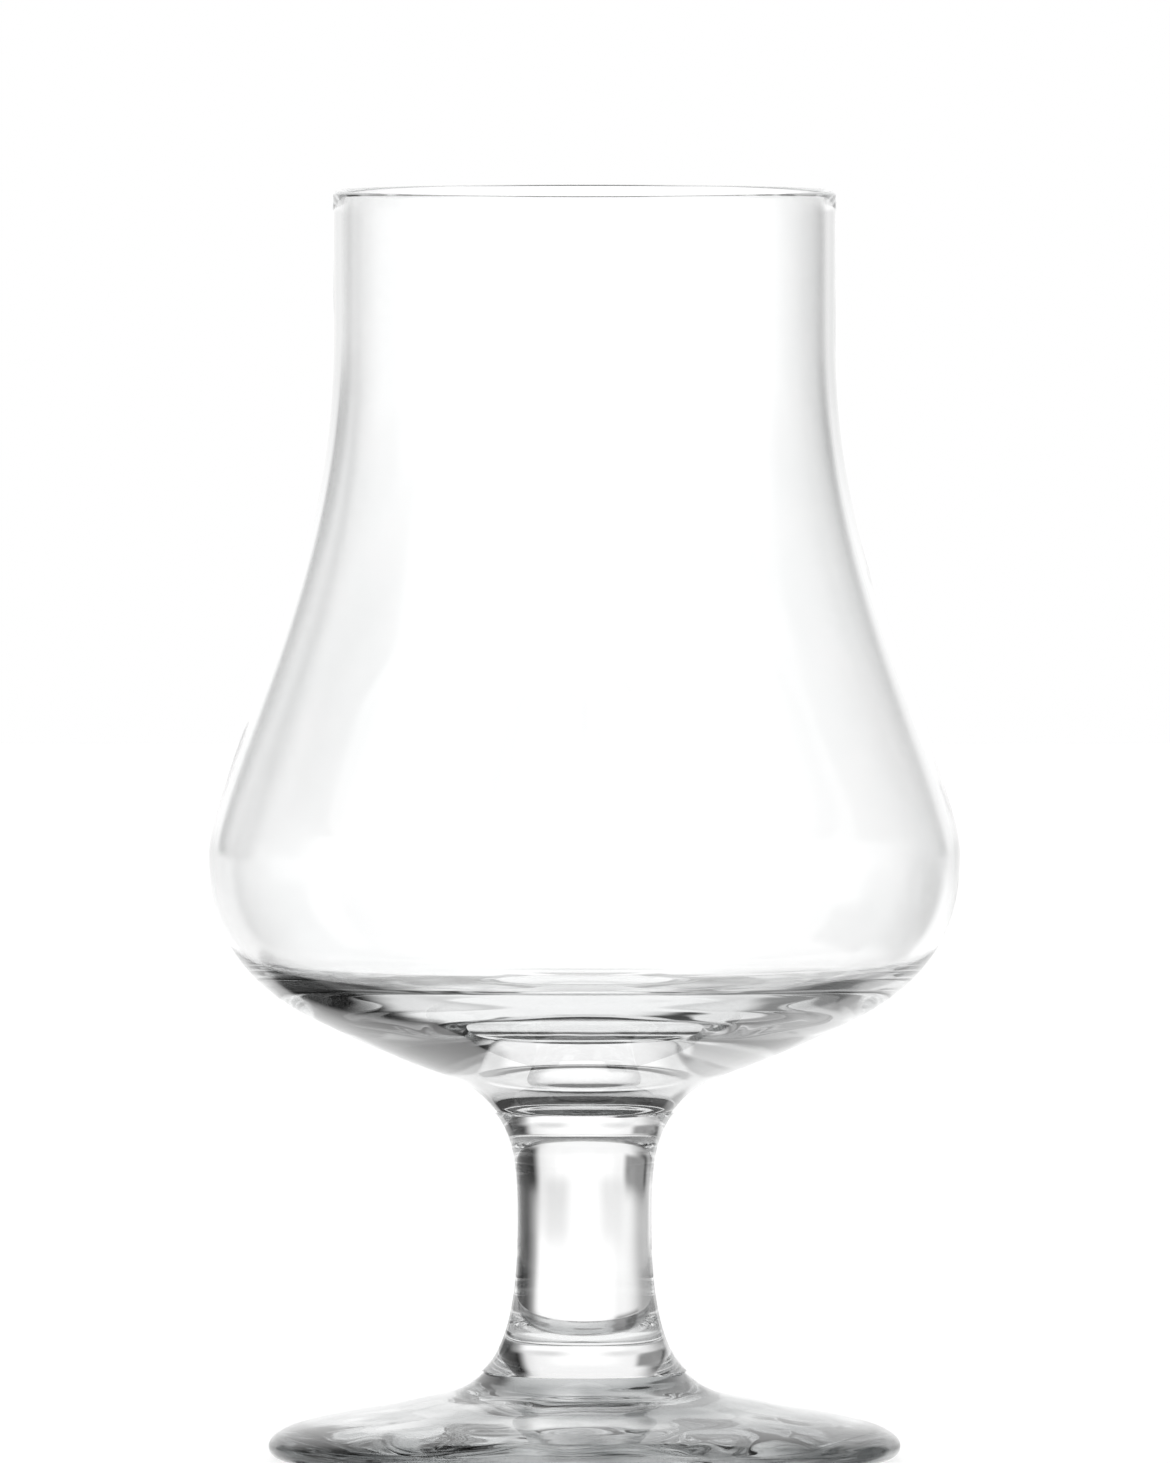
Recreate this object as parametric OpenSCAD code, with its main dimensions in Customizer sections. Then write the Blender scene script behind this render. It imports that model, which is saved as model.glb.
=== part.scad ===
// Whisky nosing glass: a tulip bowl on a short solid stem and a domed foot.
// The three pieces of clear glass are made apart and fused hot, face to face,
// at two seams. The origin is the middle of the foot, on the table.

/* [Rim] */
// Outer diameter of the rim
rim_d = 46.4; // [43:0.2:50]
// Wall of the glass at the rim
rim_wall = 0.9; // [0.7:0.05:1.4]
// Height of the straight band below the rim
rim_band_h = 13; // [8:0.5:18]

/* [Bowl] */
// Height of the bowl from its seam with the stem to the rim
bowl_h = 85; // [78:0.5:92]
// Outer diameter at the widest line
belly_d = 69.5; // [65:0.5:75]
// Height of the widest line above the seam
belly_rise = 23.8; // [22:0.1:26.5]
// Wall of the glass at the widest line
belly_wall = 0.55; // [0.45:0.05:0.9]
// Solid glass between the seam and the edge of the cavity's floor
base_t = 11; // [10.2:0.1:12]
// Width of the sloped corner between the wall of the cavity and its floor
corner_w = 11.3; // [10.2:0.1:14.2]
// Rise of the floor from its edge to the swelling in its middle
floor_rise = 0.15; // [0.05:0.05:0.4]
// Diameter of the swelling in the middle of the floor
swelling_d = 15.2; // [10:0.2:20]
// Height of the middle of the swelling above its edge
swelling_h = 0.1; // [0.05:0.05:0.4]

/* [Stem] */
// Height of the stem between its two seams
stem_h = 24.1; // [20:0.1:30]
// Diameter at the waist
waist_d = 12.4; // [10:0.1:14]
// Height of the waist above the lower seam
waist_rise = 13.7; // [11:0.1:16]
// Diameter of the seam between stem and bowl
bowl_seam_d = 16.5; // [15:0.1:20]
// Diameter of the seam between stem and foot
foot_seam_d = 18.9; // [17:0.1:22]
// Softened corner of each piece beside a seam
seam_break = 0.15; // [0.05:0.05:0.3]

/* [Foot] */
// Height of the foot from the table to its seam with the stem
foot_h = 7.9; // [6.5:0.1:9.5]
// Outer diameter of the foot
foot_d = 58.4; // [52:0.5:64]
// Radius of the round at the lower edge of the foot
foot_edge_r = 1.1; // [0.7:0.1:1.5]
// Width of the flat ring that the glass stands on
rest_ring_w = 2.7; // [2:0.1:5]
// Height of the hollow under the foot, half way in to its middle
foot_hollow_h = 2; // [1:0.1:2.5]

/* [Hidden] */
$fn = 128;

// Straight pieces in each curve of an outline
curve_steps = 12;
// Straight pieces in the half round of the lip and the quarter round of the foot
round_steps = 8;

// A knot of an outline is [radius, height, lean]. The lean is the angle of the
// outline's way from straight down, and it is positive outwards. Place shares
// set a knot between its neighbours. Pull shares say how far a curve keeps its
// lean after its first knot and before its last, as shares of their distance.
rim_r = rim_d / 2;
belly_r = belly_d / 2;
bowl_seam_r = bowl_seam_d / 2;
foot_seam_r = foot_seam_d / 2;
foot_r = foot_d / 2;
neck_rise = bowl_h - rim_band_h;
lip_rise = bowl_h - rim_wall / 2;

// Outside of the bowl: flank above the widest line, shoulder of glass below it
flank_place_shares = [0.65, 0.278];
flank_lean = 21;
under_place_shares = [0.54, 0.31];
under_lean = -64.5;
bowl_seam_lean = -38.2;
neck_pull_shares = [0.351, 0.403];
flank_pull_shares = [0.215, 0.203];
belly_pull_shares = [0.539, 0.236];
under_pull_shares = [0.635, 0.268];

// Cavity of the bowl: the wall turns at its lower corner into the floor
corner_place_shares = [0.504, 0.088];
corner_lean = -67.7;
floor_edge_lean = -88.5;
level_lean = -90;
swelling_lean = -96;
corner_pull_shares = [0.45, 0.3];
floor_edge_pull_shares = [0.35, 0.35];
floor_pull_shares = [0.35, 0.35];
swelling_pull_shares = [0.3, 0.5];

// Stem and foot
stem_upper_pull_shares = [0.311, 0.401];
stem_lower_pull_shares = [0.337, 0.272];
foot_seam_lean = 48.6;
slope_place_shares = [0.388, 0.637];
slope_lean = 75.1;
shoulder_place_shares = [0.856, 0.4];
shoulder_lean = 74.7;
slope_pull_shares = [0.398, 0.534];
shoulder_pull_shares = [0.2, 0.371];
edge_pull_shares = [0.352, 0.288];
hollow_edge_lean = -99.9;
hollow_place_share = 0.532;
hollow_lean = -103.5;
hollow_middle_share = 0.75;
hollow_edge_pull_shares = [0.35, 0.4];
hollow_pull_shares = [0.4, 0.4];

// Unit step along an outline that leans from straight down
function heading(lean) = [sin(lean), -cos(lean)];

// A value that lies a share of the way from one to another
function between(low, high, share) = low + (high - low) * share;

// The points of a curve that leaves one knot and arrives at the next, with the
// last knot and without the first
function curve(first, last, pulls) =
    let (
        start = [first[0], first[1]],
        end = [last[0], last[1]],
        span = norm(end - start),
        leave = start + pulls[0] * span * heading(first[2]),
        arrive = end - pulls[1] * span * heading(last[2])
    )
    [
        for (i = [1 : curve_steps])
            let (t = i / curve_steps, u = 1 - t)
            u * u * u * start + 3 * u * u * t * leave + 3 * u * t * t * arrive + t * t * t * end
    ];

// The points of a round about a centre, without the first
function round_off(centre, radius, first_angle, last_angle) =
    [
        for (i = [1 : round_steps])
            let (angle = between(first_angle, last_angle, i / round_steps))
            centre + radius * [cos(angle), sin(angle)]
    ];

// The wall of the bowl from the lip down to the widest line, set in from the
// outside by the glass at the lip and at the widest line
function side_wall(at_rim, at_belly) =
    let (
        neck = [rim_r - at_rim, neck_rise, 0],
        belly = [belly_r - at_belly, belly_rise, 0],
        at_flank = (at_rim + at_belly) / 2 / cos(flank_lean),
        flank = [
            between(rim_r, belly_r, flank_place_shares[0]) - at_flank,
            between(belly_rise, neck_rise, flank_place_shares[1]),
            flank_lean
        ]
    )
    concat(
        [[rim_r - at_rim, lip_rise], [rim_r - at_rim, neck_rise]],
        curve(neck, flank, neck_pull_shares),
        curve(flank, belly, flank_pull_shares)
    );

// The outside of the bowl below the widest line, down to the seam
function underside() =
    let (
        belly = [belly_r, belly_rise, 0],
        under = [
            between(bowl_seam_r, belly_r, under_place_shares[0]),
            belly_rise * under_place_shares[1],
            under_lean
        ],
        seam = [bowl_seam_r, seam_break, bowl_seam_lean]
    )
    concat(
        curve(belly, under, belly_pull_shares),
        curve(under, seam, under_pull_shares),
        [[bowl_seam_r - seam_break, 0], [0, 0]]
    );

// The cavity below the widest line: lower corner, floor and swelling
function cavity_floor() =
    let (
        belly = [belly_r - belly_wall, belly_rise, 0],
        floor_edge = [belly[0] - corner_w, base_t, floor_edge_lean],
        corner = [
            between(floor_edge[0], belly[0], corner_place_shares[0]),
            between(base_t, belly_rise, corner_place_shares[1]),
            corner_lean
        ],
        swelling_r = swelling_d / 2,
        swelling_rise = base_t + floor_rise,
        middle = [0, swelling_rise + swelling_h, level_lean]
    )
    concat(
        curve(belly, corner, corner_pull_shares),
        curve(corner, floor_edge, floor_edge_pull_shares),
        curve(floor_edge, [swelling_r, swelling_rise, level_lean], floor_pull_shares),
        curve([swelling_r, swelling_rise, swelling_lean], middle, swelling_pull_shares)
    );

function reversed(points) = [for (i = [len(points) - 1 : -1 : 0]) points[i]];

module bowl() {
    lip_centre = [rim_r - rim_wall / 2, lip_rise];
    inside = concat(side_wall(rim_wall, belly_wall), cavity_floor());
    color([0.86, 0.89, 0.9, 0.45])
        translate([0, 0, foot_h + stem_h])
        rotate_extrude()
        polygon(concat(
            side_wall(0, 0),
            underside(),
            reversed(inside),
            round_off(lip_centre, rim_wall / 2, 180, 0)
        ));
}

module stem() {
    upper = [bowl_seam_r, stem_h - seam_break, bowl_seam_lean];
    waist = [waist_d / 2, waist_rise, 0];
    lower = [foot_seam_r, seam_break, foot_seam_lean];
    color([0.78, 0.84, 0.88, 0.6])
        translate([0, 0, foot_h])
        rotate_extrude()
        polygon(concat(
            [[0, stem_h], [bowl_seam_r - seam_break, stem_h], [upper[0], upper[1]]],
            curve(upper, waist, stem_upper_pull_shares),
            curve(waist, lower, stem_lower_pull_shares),
            [[foot_seam_r - seam_break, 0], [0, 0]]
        ));
}

module foot() {
    seam = [foot_seam_r, foot_h - seam_break, foot_seam_lean];
    slope = [
        between(foot_seam_r, foot_r, slope_place_shares[0]),
        foot_h * slope_place_shares[1],
        slope_lean
    ];
    shoulder = [
        between(foot_seam_r, foot_r, shoulder_place_shares[0]),
        foot_h * shoulder_place_shares[1],
        shoulder_lean
    ];
    edge = [foot_r, foot_edge_r, 0];
    edge_centre = [foot_r - foot_edge_r, foot_edge_r];
    ring_inner = [foot_r - foot_edge_r - rest_ring_w, 0, hollow_edge_lean];
    hollow = [
        ring_inner[0] * hollow_place_share,
        foot_hollow_h,
        hollow_lean
    ];
    hollow_middle = [0, foot_hollow_h * hollow_middle_share, level_lean];
    color([0.82, 0.87, 0.89, 0.55])
        rotate_extrude()
        polygon(concat(
            [[0, foot_h], [foot_seam_r - seam_break, foot_h], [seam[0], seam[1]]],
            curve(seam, slope, slope_pull_shares),
            curve(slope, shoulder, shoulder_pull_shares),
            curve(shoulder, edge, edge_pull_shares),
            round_off(edge_centre, foot_edge_r, 0, -90),
            [[ring_inner[0], ring_inner[1]]],
            curve(ring_inner, hollow, hollow_edge_pull_shares),
            curve(hollow, hollow_middle, hollow_pull_shares)
        ));
}

bowl();
stem();
foot();
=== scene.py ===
"""A whisky nosing glass in clear glass, on a white table against a white backdrop.

The glass is three pieces of revolution, bowl, stem and foot, fused at two level
seams. Their outlines are the part's own, worked out finely from the same sizes.
"""

import math

import bmesh
import bpy
import numpy as np
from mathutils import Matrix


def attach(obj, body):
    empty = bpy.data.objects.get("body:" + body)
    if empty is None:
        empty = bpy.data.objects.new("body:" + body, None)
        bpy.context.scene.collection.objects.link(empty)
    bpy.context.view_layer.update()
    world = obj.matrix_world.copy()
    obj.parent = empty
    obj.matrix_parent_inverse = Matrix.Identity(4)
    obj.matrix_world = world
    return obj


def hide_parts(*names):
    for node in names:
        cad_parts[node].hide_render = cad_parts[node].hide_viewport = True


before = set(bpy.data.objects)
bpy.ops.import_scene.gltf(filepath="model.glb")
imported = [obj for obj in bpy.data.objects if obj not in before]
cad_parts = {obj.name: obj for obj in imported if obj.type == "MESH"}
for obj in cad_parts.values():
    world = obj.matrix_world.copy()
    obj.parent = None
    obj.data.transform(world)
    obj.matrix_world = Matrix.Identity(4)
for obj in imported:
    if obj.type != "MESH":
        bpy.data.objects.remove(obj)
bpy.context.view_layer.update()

# Metres in a millimetre, and degrees in a radian
MM = 0.001
DEGREES = 180 / math.pi

# Sizes of the glass, in millimetres, as the part has them
RIM_R = 23.2
RIM_WALL = 0.9
RIM_BAND_H = 13.0
BOWL_H = 85.0
BELLY_R = 34.75
BELLY_RISE = 23.8
BELLY_WALL = 0.55
BASE_T = 11.0
CAVITY_FLOOR_R = 22.9
CAVITY_FLOOR_RISE = 0.15
SWELLING_R = 7.6
SWELLING_H = 0.1
STEM_H = 24.1
WAIST_R = 6.2
WAIST_RISE = 13.7
BOWL_SEAM_R = 8.25
FOOT_SEAM_R = 9.45
SEAM_BREAK = 0.15
FOOT_H = 7.9
FOOT_R = 29.2
FOOT_EDGE_R = 1.1
REST_RING_W = 2.7
FOOT_HOLLOW_H = 2.0

# Each face of a seam is set in by this, in millimetres, so that a film of air parts the pieces
SEAM_FILM = 0.01

# Leans of the outlines, in degrees from straight down, positive outwards
FLANK_LEAN = 21.0
UNDER_LEAN = -64.5
BOWL_SEAM_LEAN = -38.2
CORNER_LEAN = -67.7
FLOOR_EDGE_LEAN = -88.5
SWELLING_LEAN = -96.0
FOOT_SEAM_LEAN = 48.6
SLOPE_LEAN = 75.1
SHOULDER_LEAN = 74.7
HOLLOW_EDGE_LEAN = -99.9
HOLLOW_LEAN = -103.5
LEVEL_LEAN = -90.0

# Where a knot lies between its neighbours, as shares across and up
FLANK_PLACES = (0.65, 0.278)
UNDER_PLACES = (0.54, 0.31)
CORNER_PLACES = (0.504, 0.088)
SLOPE_PLACES = (0.388, 0.637)
SHOULDER_PLACES = (0.856, 0.4)
HOLLOW_PLACE = 0.532
HOLLOW_MIDDLE = 0.75

# How far a curve keeps its lean after its first knot and before its last, as shares of their
# distance
NECK_PULLS = (0.351, 0.403)
FLANK_PULLS = (0.215, 0.203)
BELLY_PULLS = (0.539, 0.236)
UNDER_PULLS = (0.635, 0.268)
CORNER_PULLS = (0.45, 0.3)
FLOOR_EDGE_PULLS = (0.35, 0.35)
FLOOR_PULLS = (0.35, 0.35)
SWELLING_PULLS = (0.3, 0.5)
STEM_UPPER_PULLS = (0.311, 0.401)
STEM_LOWER_PULLS = (0.337, 0.272)
SLOPE_PULLS = (0.398, 0.534)
SHOULDER_PULLS = (0.2, 0.371)
EDGE_PULLS = (0.352, 0.288)
HOLLOW_EDGE_PULLS = (0.35, 0.4)
HOLLOW_PULLS = (0.4, 0.4)

# Straight pieces in a curve, in a short curve and in a round, points on the band below the rim,
# and steps of a full turn
CURVE_STEPS = 36
SHORT_CURVE_STEPS = 18
ROUND_STEPS = 12
BAND_POINTS = 9
TURN_STEPS = 256


def heading(lean):
    """Unit step along an outline that leans from straight down by an angle in degrees."""
    return np.array([math.sin(math.radians(lean)), -math.cos(math.radians(lean))])


def between(low, high, share):
    """The value that lies a share of the way from low to high."""
    return low + (high - low) * share


def curve(first, last, pulls, steps=CURVE_STEPS):
    """Cubic Bezier from one knot [radius, height, lean] to the next, without the first point.

    The two inner control points lie along the leans, at the pull shares of the distance.
    """
    start, end = np.array(first[:2], float), np.array(last[:2], float)
    span = np.linalg.norm(end - start)
    leave = start + pulls[0] * span * heading(first[2])
    arrive = end - pulls[1] * span * heading(last[2])
    t = np.linspace(0, 1, steps + 1)[1:, None]
    u = 1 - t
    return u**3 * start + 3 * u * u * t * leave + 3 * u * t * t * arrive + t**3 * end


def round_off(centre, radius, first_angle, last_angle):
    """Arc about a centre between two angles in degrees, without its first point."""
    angle = np.radians(np.linspace(first_angle, last_angle, ROUND_STEPS + 1))[1:, None]
    return np.array(centre) + radius * np.hstack([np.cos(angle), np.sin(angle)])


def side_wall(at_rim, at_belly):
    """The bowl's wall from the lip to the widest line, set in by the glass at both."""
    neck_rise = BOWL_H - RIM_BAND_H
    neck = [RIM_R - at_rim, neck_rise, 0]
    belly = [BELLY_R - at_belly, BELLY_RISE, 0]
    at_flank = (at_rim + at_belly) / 2 / math.cos(math.radians(FLANK_LEAN))
    flank = [
        between(RIM_R, BELLY_R, FLANK_PLACES[0]) - at_flank,
        between(BELLY_RISE, neck_rise, FLANK_PLACES[1]),
        FLANK_LEAN,
    ]
    band = np.linspace([RIM_R - at_rim, BOWL_H - RIM_WALL / 2], neck[:2], BAND_POINTS)
    return np.vstack([band, curve(neck, flank, NECK_PULLS), curve(flank, belly, FLANK_PULLS)])


def bowl_outline():
    """Outline of the bowl: down the outside to the seam, and up the inside to the lip."""
    belly = [BELLY_R, BELLY_RISE, 0]
    under = [
        between(BOWL_SEAM_R, BELLY_R, UNDER_PLACES[0]),
        BELLY_RISE * UNDER_PLACES[1],
        UNDER_LEAN,
    ]
    seam = [BOWL_SEAM_R, SEAM_BREAK, BOWL_SEAM_LEAN]
    belly_in = [BELLY_R - BELLY_WALL, BELLY_RISE, 0]
    swelling_edge = [SWELLING_R, BASE_T + CAVITY_FLOOR_RISE]
    floor_edge = [CAVITY_FLOOR_R, BASE_T, FLOOR_EDGE_LEAN]
    corner = [
        between(CAVITY_FLOOR_R, belly_in[0], CORNER_PLACES[0]),
        between(BASE_T, BELLY_RISE, CORNER_PLACES[1]),
        CORNER_LEAN,
    ]
    middle = [0, swelling_edge[1] + SWELLING_H, LEVEL_LEAN]
    outside = np.vstack([
        side_wall(0, 0),
        curve(belly, under, BELLY_PULLS),
        curve(under, seam, UNDER_PULLS),
        [[BOWL_SEAM_R - SEAM_BREAK, SEAM_FILM], [0, SEAM_FILM]],
    ])
    inside = np.vstack([
        side_wall(RIM_WALL, BELLY_WALL),
        curve(belly_in, corner, CORNER_PULLS),
        curve(corner, floor_edge, FLOOR_EDGE_PULLS, SHORT_CURVE_STEPS),
        curve(floor_edge, [*swelling_edge, LEVEL_LEAN], FLOOR_PULLS),
        curve([*swelling_edge, SWELLING_LEAN], middle, SWELLING_PULLS, SHORT_CURVE_STEPS),
    ])
    lip = round_off([RIM_R - RIM_WALL / 2, BOWL_H - RIM_WALL / 2], RIM_WALL / 2, 180, 0)[:-1]
    return np.vstack([outside, inside[::-1], lip, outside[:1]]) + [0, FOOT_H + STEM_H]


def stem_outline():
    """Outline of the stem from the upper seam's middle to the lower seam's middle."""
    upper = [BOWL_SEAM_R, STEM_H - SEAM_BREAK, BOWL_SEAM_LEAN]
    waist = [WAIST_R, WAIST_RISE, 0]
    lower = [FOOT_SEAM_R, SEAM_BREAK, FOOT_SEAM_LEAN]
    return np.vstack([
        [[0, STEM_H - SEAM_FILM], [BOWL_SEAM_R - SEAM_BREAK, STEM_H - SEAM_FILM], upper[:2]],
        curve(upper, waist, STEM_UPPER_PULLS),
        curve(waist, lower, STEM_LOWER_PULLS),
        [[FOOT_SEAM_R - SEAM_BREAK, SEAM_FILM], [0, SEAM_FILM]],
    ]) + [0, FOOT_H]


def foot_outline():
    """Outline of the foot from the seam's middle over the edge to the hollow's middle."""
    seam = [FOOT_SEAM_R, FOOT_H - SEAM_BREAK, FOOT_SEAM_LEAN]
    slope = [between(FOOT_SEAM_R, FOOT_R, SLOPE_PLACES[0]), FOOT_H * SLOPE_PLACES[1], SLOPE_LEAN]
    shoulder = [
        between(FOOT_SEAM_R, FOOT_R, SHOULDER_PLACES[0]),
        FOOT_H * SHOULDER_PLACES[1],
        SHOULDER_LEAN,
    ]
    edge = [FOOT_R, FOOT_EDGE_R, 0]
    ring_inner = [FOOT_R - FOOT_EDGE_R - REST_RING_W, 0, HOLLOW_EDGE_LEAN]
    hollow = [ring_inner[0] * HOLLOW_PLACE, FOOT_HOLLOW_H, HOLLOW_LEAN]
    middle = [0, FOOT_HOLLOW_H * HOLLOW_MIDDLE, LEVEL_LEAN]
    return np.vstack([
        [[0, FOOT_H - SEAM_FILM], [FOOT_SEAM_R - SEAM_BREAK, FOOT_H - SEAM_FILM], seam[:2]],
        curve(seam, slope, SLOPE_PULLS),
        curve(slope, shoulder, SHOULDER_PULLS),
        curve(shoulder, edge, EDGE_PULLS),
        round_off([FOOT_R - FOOT_EDGE_R, FOOT_EDGE_R], FOOT_EDGE_R, 0, -90),
        [ring_inner[:2]],
        curve(ring_inner, hollow, HOLLOW_EDGE_PULLS),
        curve(hollow, middle, HOLLOW_PULLS),
    ])


def full_turn(steps):
    """Angles of equal steps round a full turn, in radians, from nought."""
    return np.arange(steps) * 2 * math.pi / steps


def revolve(name, outline, ripple=0.0):
    """A closed surface of revolution: point (i, j) is outline point i turned by j steps about Z.

    The ripple is a height in millimetres that is added to each point.
    """
    turn = full_turn(TURN_STEPS)
    radius, height = outline[:, 0, None], outline[:, 1, None] + ripple + 0 * turn
    grid = np.stack([radius * np.cos(turn), radius * np.sin(turn), height], axis=2) * MM
    rows, columns = np.meshgrid(np.arange(len(outline) - 1), np.arange(TURN_STEPS), indexing="ij")
    onward = (columns + 1) % TURN_STEPS
    corners = np.stack([
        rows * TURN_STEPS + columns,
        (rows + 1) * TURN_STEPS + columns,
        (rows + 1) * TURN_STEPS + onward,
        rows * TURN_STEPS + onward,
    ], axis=2).reshape(-1, 4)
    mesh = bpy.data.meshes.new(name)
    mesh.from_pydata(grid.reshape(-1, 3), [], corners)
    close(mesh)
    piece = bpy.data.objects.new(name, mesh)
    bpy.context.scene.collection.objects.link(piece)
    return piece


# Ripples that pressing leaves under the foot: waves per millimetre along X and Y, start, share.
# Their height and the ring where they fade out are in millimetres.
RIPPLES = np.array([
    [0.083, 0.031, 0.3, 1.0],
    [-0.052, 0.096, 2.1, 0.9],
    [0.118, -0.071, 4.4, 0.7],
    [0.024, 0.142, 1.2, 0.6],
    [-0.151, -0.043, 5.2, 0.5],
    [0.046, -0.055, 3.5, 0.9],
])
RIPPLE_H = 0.05
RIPPLE_EDGE_R = 24.5
RIPPLE_FADE = 5.0


def underside_ripple(outline, first_row):
    """Height of the ripples on the outline's points from the first row on, and nought before it.

    It is the sum of plane waves times their shares, and it fades out softly towards the ring.
    """
    turn = full_turn(TURN_STEPS)
    radius = outline[:, 0, None]
    x, y = radius * np.cos(turn), radius * np.sin(turn)
    along, across, start, share = RIPPLES.T
    waves = np.sin(2 * math.pi * (x[..., None] * along + y[..., None] * across) + start) @ share
    inward = np.clip((RIPPLE_EDGE_R - radius) / RIPPLE_FADE, 0, 1)
    below = np.arange(len(outline))[:, None] >= first_row
    return RIPPLE_H * (inward * inward * (3 - 2 * inward) * below) * waves


# Points nearer than this, in metres, become one, and a fold of more than this, in degrees, is sharp
MERGE_M = 1e-7
SHARP_ANGLE = 25


def close(mesh):
    """Merges the poles and the closing ring, and turns all faces outwards."""
    work = bmesh.new()
    work.from_mesh(mesh)
    bmesh.ops.remove_doubles(work, verts=work.verts, dist=MERGE_M)
    bmesh.ops.recalc_face_normals(work, faces=work.faces)
    work.to_mesh(mesh)
    work.free()
    mesh.polygons.foreach_set("use_smooth", np.ones(len(mesh.polygons), bool))
    mesh.set_sharp_from_angle(angle=math.radians(SHARP_ANGLE))
    mesh.update()


# How strongly the glass bends light, what colour it lets through in its depth, how much light it
# takes up per metre, and its tint from its palest to its deepest part. The pressed foot takes up
# more light and has a far greyer, cloudier cast outside its core than the blown bowl and the drawn
# stem; this grey cast and its dark cloudy patches are painted shade, standing in for the shaded
# table and room seen through the foot. The core is in metres from the axis, and the cloud, with the
# foot's painted shade, is where the fine waviness lies between two levels.
GLASS_IOR = 1.52
DEEP_GLASS_COLOR = (0.0, 0.045, 0.05, 1)
GLASS_DENSITY = 2.5
GLASS_TINTS = ((0.995, 0.995, 0.995, 1), (0.98, 0.985, 0.985, 1))
FOOT_GLASS_DENSITY = 5.0
# The foot's deep tint is painted shade, darkening it where the shaded table and room show through
FOOT_TINTS_AND_PAINTED_SHADE = ((0.95, 0.955, 0.955, 1), (0.22, 0.232, 0.235, 1))
CORE_R = 0.0085
CORE_FADE = 0.0025
CLOUD_AND_SHADE_FROM = 0.25
CLOUD_AND_SHADE_FULL = 0.7

# Fine waviness of hot-worked glass, and fine wear on the resting ring, in metres. The wear is
# where its pattern lies between two levels.
WAVES_PER_M = 75.0
WAVE_SWIRL = 0.8
WAVE_DEPTH = 0.00001
WEAR_PER_M = 1900.0
WEAR_TOP = 0.00035
WEAR_FADE = 0.0003
WEAR_FROM = 0.45
WEAR_FULL = 0.6
WEAR_ROUGHNESS = 0.06

# How many finer layers a cloudy pattern has, and how strong each is beside the one before
MOTTLE_DETAIL = 2.0
MOTTLE_ROUGHNESS = 0.45


def number_node(tree, operation, *inputs):
    """One Math node on numbers or sockets."""
    node = tree.nodes.new("ShaderNodeMath")
    node.operation = operation
    for socket, value in zip(node.inputs, inputs):
        if isinstance(value, (int, float)):
            socket.default_value = value
        else:
            tree.links.new(value, socket)
    return node.outputs[0]


def fade(tree, value, start, end, before, after):
    """Goes softly from one level to another while a value goes from start to end."""
    node = tree.nodes.new("ShaderNodeMapRange")
    node.interpolation_type = "SMOOTHSTEP"
    tree.links.new(value, node.inputs["Value"])
    node.inputs["From Min"].default_value = start
    node.inputs["From Max"].default_value = end
    node.inputs["To Min"].default_value = before
    node.inputs["To Max"].default_value = after
    return node.outputs[0]


def mottle(tree, place, per_metre, swirl):
    """A cloudy pattern from 0 to 1 at a place on the glass."""
    node = tree.nodes.new("ShaderNodeTexNoise")
    tree.links.new(place, node.inputs["Vector"])
    node.inputs["Scale"].default_value = per_metre
    node.inputs["Detail"].default_value = MOTTLE_DETAIL
    node.inputs["Roughness"].default_value = MOTTLE_ROUGHNESS
    node.inputs["Distortion"].default_value = swirl
    return node.outputs["Fac"]


def clear_glass(name, density, tints_and_shade):
    """Fire-polished clear glass: cloudy outside its core, with painted shade there on the foot,
    finely wavy, and worn where it rests.

    The tint follows the cloud, which is the fine waviness times how far out the place lies; on the
    foot its deep end is painted shade, standing in for the shaded table and room seen through the
    glass. The roughness is the wear's pattern times how near the place is to the table.
    """
    material = bpy.data.materials.new(name)
    material.use_nodes = True
    tree = material.node_tree
    shader = tree.nodes["Principled BSDF"]
    shader.inputs["IOR"].default_value = GLASS_IOR
    shader.inputs["Transmission Weight"].default_value = 1.0
    place = tree.nodes.new("ShaderNodeTexCoord").outputs["Object"]
    waves = mottle(tree, place, WAVES_PER_M, WAVE_SWIRL)
    # On the foot the deep end of this tint is painted shade, laid on the cloudy glass outside its
    # core
    tint = tree.nodes.new("ShaderNodeMix")
    tint.data_type = "RGBA"
    tint.inputs[6].default_value, tint.inputs[7].default_value = tints_and_shade
    axes = tree.nodes.new("ShaderNodeSeparateXYZ")
    tree.links.new(place, axes.inputs[0])
    x, y, z = axes.outputs
    x_squared, y_squared = (number_node(tree, "MULTIPLY", along, along) for along in (x, y))
    from_axis = number_node(tree, "SQRT", number_node(tree, "ADD", x_squared, y_squared))
    outside = fade(tree, from_axis, CORE_R, CORE_R + CORE_FADE, 0.0, 1.0)
    wavy = fade(tree, waves, CLOUD_AND_SHADE_FROM, CLOUD_AND_SHADE_FULL, 0.0, 1.0)
    cloud_and_painted_shade = number_node(tree, "MULTIPLY", outside, wavy)
    tree.links.new(cloud_and_painted_shade, tint.inputs[0])
    tree.links.new(tint.outputs[2], shader.inputs["Base Color"])
    bump = tree.nodes.new("ShaderNodeBump")
    bump.inputs["Distance"].default_value = WAVE_DEPTH
    tree.links.new(waves, bump.inputs["Height"])
    tree.links.new(bump.outputs[0], shader.inputs["Normal"])
    low = fade(tree, z, WEAR_TOP, WEAR_TOP + WEAR_FADE, 1.0, 0.0)
    scuffs = mottle(tree, place, WEAR_PER_M, 0.0)
    wear = fade(tree, scuffs, WEAR_FROM, WEAR_FULL, 0.0, WEAR_ROUGHNESS)
    tree.links.new(number_node(tree, "MULTIPLY", low, wear), shader.inputs["Roughness"])
    depth = tree.nodes.new("ShaderNodeVolumeAbsorption")
    depth.inputs["Color"].default_value = DEEP_GLASS_COLOR
    depth.inputs["Density"].default_value = density
    tree.links.new(depth.outputs[0], tree.nodes["Material Output"].inputs["Volume"])
    return material


# A point of the foot lower than this, in millimetres, is on the table
ON_TABLE = 1e-9


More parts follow.
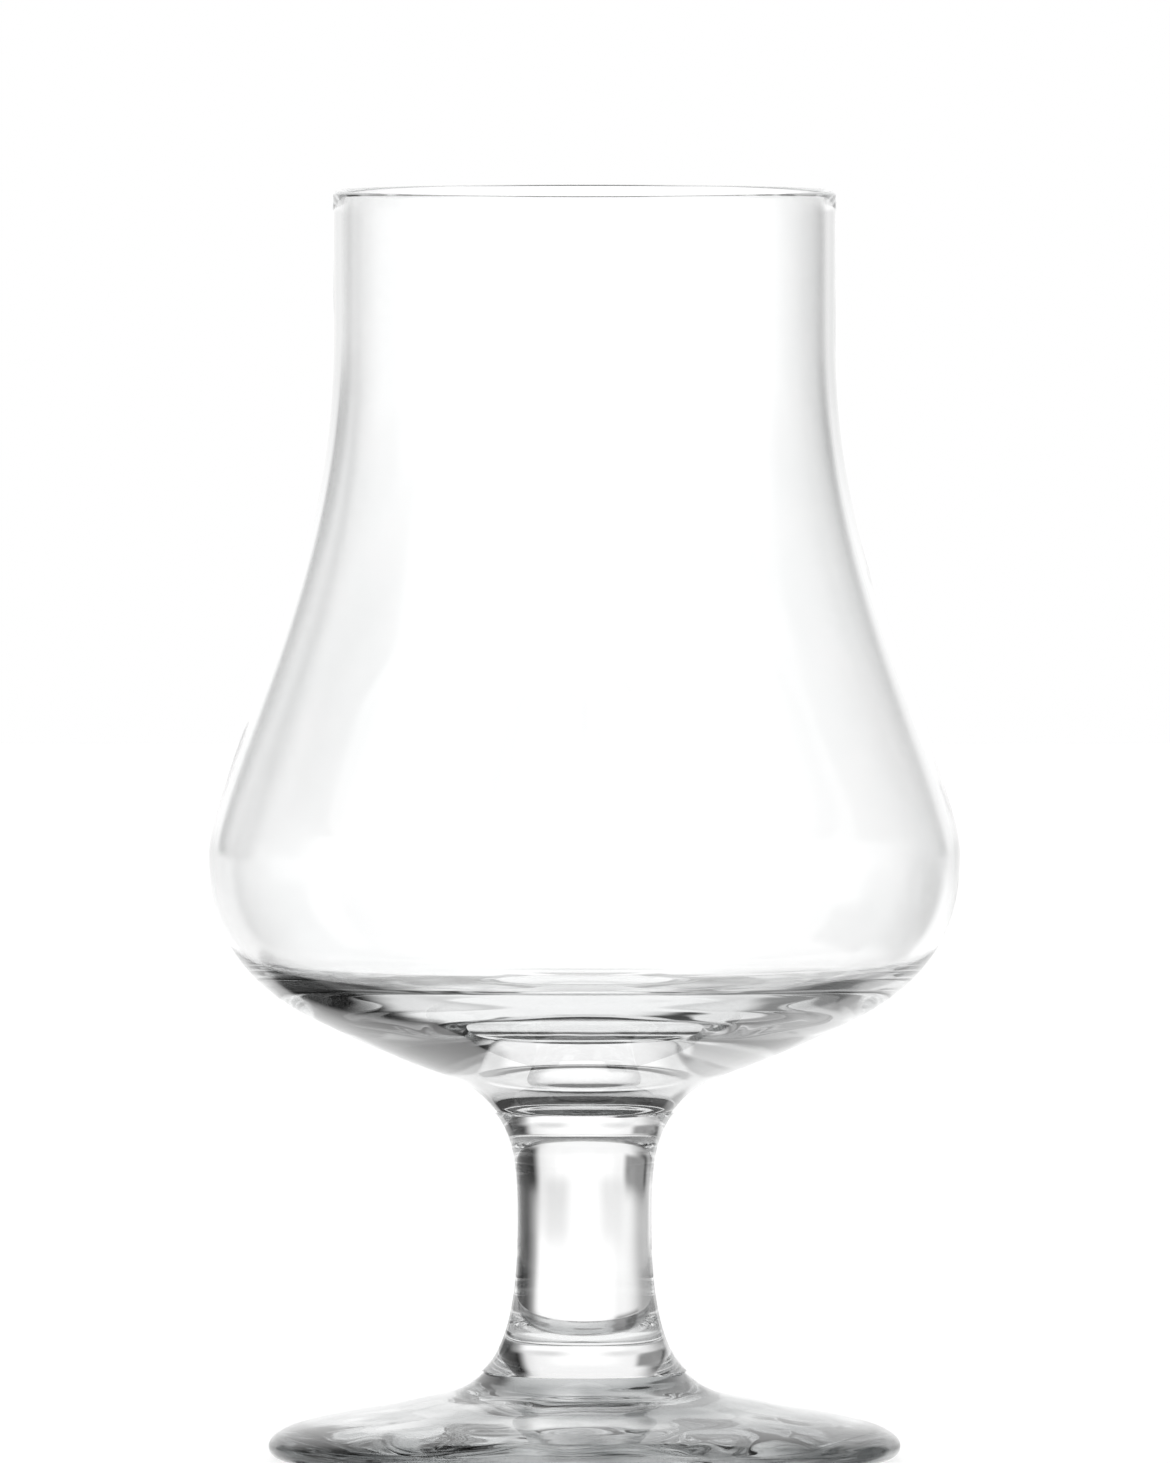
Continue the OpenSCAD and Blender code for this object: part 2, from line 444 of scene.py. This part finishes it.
def build_glass():
    """The three pieces, each in place of its node."""
    glass = clear_glass("clear_glass", GLASS_DENSITY, GLASS_TINTS)
    # The foot's material carries painted shade in its dark, cloudy tint
    foot_glass_and_shade = clear_glass("foot_glass_and_shade", FOOT_GLASS_DENSITY, FOOT_TINTS_AND_PAINTED_SHADE)
    foot = foot_outline()
    hollow_start = int(np.argmax(foot[:, 1] < ON_TABLE)) + 1
    pieces = {
        "bowl": revolve("glass_bowl", bowl_outline()),
        "stem": revolve("glass_stem", stem_outline()),
        "foot": revolve("glass_foot", foot, underside_ripple(foot, hollow_start)),
    }
    for node, piece in pieces.items():
        piece.data.materials.append(foot_glass_and_shade if node == "foot" else glass)
        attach(piece, "root")
        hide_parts(node)


# The photographed view: distance and height of the camera in millimetres, the picture's size,
# where the glass's axis and foot stand in it, and its scale at the axis
CAMERA_AWAY = 2388.0
CAMERA_UP = 171.0
FRAME_W_PX = 1170
FRAME_H_PX = 1463
AXIS_X_PX = 584.5
FOOT_Y_PX = 1459.0
MM_PER_PX = 0.09221
SENSOR = 36.0
VIEW_END_M = 20


def build_camera():
    """A long lens, a little above the rim, aimed at the picture's middle on the glass's axis."""
    aim = CAMERA_UP - (FOOT_Y_PX - FRAME_H_PX / 2) * MM_PER_PX
    distance = math.hypot(CAMERA_AWAY, aim)
    data = bpy.data.cameras.new("camera")
    data.sensor_width = SENSOR
    data.lens = SENSOR * distance / (FRAME_H_PX * MM_PER_PX)
    data.shift_x = (FRAME_W_PX / 2 - AXIS_X_PX) / FRAME_H_PX
    data.clip_end = VIEW_END_M
    camera = bpy.data.objects.new("camera", data)
    camera.location = (0, -CAMERA_AWAY * MM, CAMERA_UP * MM)
    camera.rotation_euler = (math.pi / 2 - math.atan2(aim, CAMERA_AWAY), 0, 0)
    bpy.context.scene.collection.objects.link(camera)
    bpy.context.scene.camera = camera


# The studio round the glass, as the glass sees it: the brightness of the room by elevation, and
# panels over it. A panel is: bearing, half its width, soft edge, lowest and highest elevation,
# soft edge, brightness. Bearings are from straight behind the glass, positive to the camera's
# right, all angles are in degrees, and a later panel covers an earlier one.
ROOM_BY_ELEVATION = [
    (-90, 1.0), (-62, 0.9), (-42, 0.65), (-20, 0.45), (0, 0.5), (20, 0.42), (45, 0.25), (90, 0.04),
]
PANELS = [
    # Grey below the glass, dark above it
    (0, 40, 16, -90, -62, 8, 0.5),
    (0, 75, 25, 49, 90, 5, 0.02),
    # Bright table before the glass, and slim lights beside and before it
    (180, 60, 25, -90, -40, 10, 1.2),
    (180, 12, 12, -35, 6, 8, 1.0),
    (90, 3, 6, -35, 4, 6, 0.95),
    (-90, 3, 6, -35, 4, 6, 0.95),
    (135, 3, 5, -35, 4, 6, 0.95),
    (-135, 3, 5, -35, 4, 6, 0.95),
    # Pale horizon at the sides and before the glass
    (-90, 34, 20, -6, 6, 6, 0.6),
    (-100, 28, 12, -5, 3, 4, 0.92),
    (100, 28, 12, -5, 3, 4, 0.92),
    (180, 52, 12, -5, 3, 4, 0.92),
    # Dark panels on the left
    (-45, 6, 10, 3, 16, 7, 0.08),
    (-80, 8, 12, 22, 44, 8, 0.05),
    # Bright window behind the glass, with a brighter middle
    (8, 16, 16, -50, -14, 8, 1.15),
    (-2, 22, 26, -20, 42, 6, 1.02),
    (8, 20, 10, -20, -6, 4, 1.17),
    (0, 8, 14, -20, 8, 8, 1.17),
    # Dark panels on the right
    (62, 12, 22, -24, 24, 8, 0.0),
    (46, 8, 10, 3, 20, 7, 0.0),
    (84, 10, 14, 20, 44, 8, 0.0),
    # Dark panels below the window and beside it, for the darks in the base
    (-29, 8, 5, -44, -25, 5, 0.06),
    (80, 12, 6, -32, -18, 5, 0.0),
    (0, 8, 5, -60, -43, 4, 0.1),
    (36, 10, 5, -60, -36, 5, 0.3),
    (-38, 9, 6, 2, 12, 5, 0.3),
    # Soft grey at the sides of the window, for the edges of the bowl's wall
    (-18, 3, 12, -2, -1, 6, 0.86),
    (18, 3, 12, -2, -1, 6, 0.8),
]

# The stage's floor: its radius and how far it lies below the foot, in metres, and its look. The
# glow makes it white to the camera.
STAGE_FLOOR_R = 1.5
STAGE_FLOOR_DROP = 0.00002
STAGE_FLOOR_SIDES = 128
STAGE_FLOOR_COLOR = (0.8, 0.8, 0.8, 1)
STAGE_FLOOR_ROUGHNESS = 0.7
STAGE_FLOOR_GLOW = 0.8

# Brightness of the backdrop that the camera sees past the glass
BACKDROP = 1.0


def blend(tree, share, level, other):
    """A level that another covers by a share."""
    node = tree.nodes.new("ShaderNodeMix")
    sockets = node.inputs[0], node.inputs[2], node.inputs[3]
    for socket, value in zip(sockets, (share, level, other)):
        if isinstance(value, (int, float)):
            socket.default_value = value
        else:
            tree.links.new(value, socket)
    return node.outputs[0]


def room_brightness(tree, direction):
    """Brightness of the studio in a direction: the room by elevation, with each panel over it.

    A panel's cover is its share across times its share from below times its share from above.
    """
    axes = tree.nodes.new("ShaderNodeSeparateXYZ")
    tree.links.new(direction, axes.inputs[0])
    x, y, z = axes.outputs
    bearing = number_node(tree, "MULTIPLY", number_node(tree, "ARCTAN2", x, y), DEGREES)
    elevation = number_node(tree, "MULTIPLY", number_node(tree, "ARCSINE", z), DEGREES)
    # The ramp goes from straight down at 0 to straight up at 1
    ramp = tree.nodes.new("ShaderNodeValToRGB")
    tree.links.new(number_node(tree, "MULTIPLY_ADD", elevation, 1 / 180, 0.5), ramp.inputs[0])
    stops = ramp.color_ramp.elements
    while len(stops) < len(ROOM_BY_ELEVATION):
        stops.new(0.5)
    for stop, (angle, level) in zip(stops, ROOM_BY_ELEVATION):
        stop.position = angle / 180 + 0.5
        stop.color = (level, level, level, 1)
    brightness = number_node(tree, "ADD", ramp.outputs[0], 0.0)
    for centre, half_w, soft_w, low, high, soft_h, level in PANELS:
        off = number_node(tree, "ABSOLUTE", number_node(tree, "SUBTRACT", bearing, centre))
        off = number_node(tree, "MINIMUM", off, number_node(tree, "SUBTRACT", 360.0, off))
        cover = fade(tree, off, half_w, half_w + soft_w, 1.0, 0.0)
        for share in (
            fade(tree, elevation, low - soft_h, low, 0.0, 1.0),
            fade(tree, elevation, high, high + soft_h, 1.0, 0.0),
        ):
            cover = number_node(tree, "MULTIPLY", cover, share)
        brightness = blend(tree, cover, brightness, level)
    return brightness


def build_floor():
    """A level white floor with the glass's soft shadow. Only the camera and soft light meet it."""
    turn = full_turn(STAGE_FLOOR_SIDES)
    rim = np.column_stack([np.cos(turn), np.sin(turn), 0 * turn]) * STAGE_FLOOR_R
    rim[:, 2] = -STAGE_FLOOR_DROP
    mesh = bpy.data.meshes.new("floor")
    mesh.from_pydata(rim, [], [list(range(len(rim)))])
    floor = bpy.data.objects.new("floor", mesh)
    bpy.context.scene.collection.objects.link(floor)
    floor.visible_glossy = False
    floor.visible_transmission = False
    material = bpy.data.materials.new("white_floor")
    material.use_nodes = True
    tree = material.node_tree
    shader = tree.nodes["Principled BSDF"]
    shader.inputs["Base Color"].default_value = STAGE_FLOOR_COLOR
    shader.inputs["Roughness"].default_value = STAGE_FLOOR_ROUGHNESS
    shader.inputs["Emission Color"].default_value = (1, 1, 1, 1)
    light = tree.nodes.new("ShaderNodeLightPath")
    glow = number_node(tree, "MULTIPLY", light.outputs["Is Camera Ray"], STAGE_FLOOR_GLOW)
    tree.links.new(glow, shader.inputs["Emission Strength"])
    mesh.materials.append(material)


def build_world():
    """The studio, and plain white where the camera sees it past the glass."""
    world = bpy.data.worlds.new("studio")
    world.use_nodes = True
    bpy.context.scene.world = world
    tree = world.node_tree
    direction = tree.nodes.new("ShaderNodeTexCoord").outputs["Generated"]
    light = tree.nodes.new("ShaderNodeLightPath")
    level = blend(tree, light.outputs["Is Camera Ray"], room_brightness(tree, direction), BACKDROP)
    background = tree.nodes["Background"]
    background.inputs["Color"].default_value = (1, 1, 1, 1)
    tree.links.new(level, background.inputs["Strength"])


# Surfaces that a ray may pass or bounce off in the thick glass
BOUNCES = 96


def let_light_through():
    """Follows light for as many surfaces as the thick glass needs."""
    cycles = bpy.context.scene.cycles
    cycles.max_bounces = BOUNCES
    cycles.transmission_bounces = BOUNCES
    cycles.glossy_bounces = BOUNCES
    cycles.transparent_max_bounces = BOUNCES


def main():
    """Builds the glass and what stands round it."""
    build_glass()
    build_camera()
    build_floor()
    build_world()
    let_light_through()
    bpy.context.scene.view_settings.view_transform = "Standard"


main()
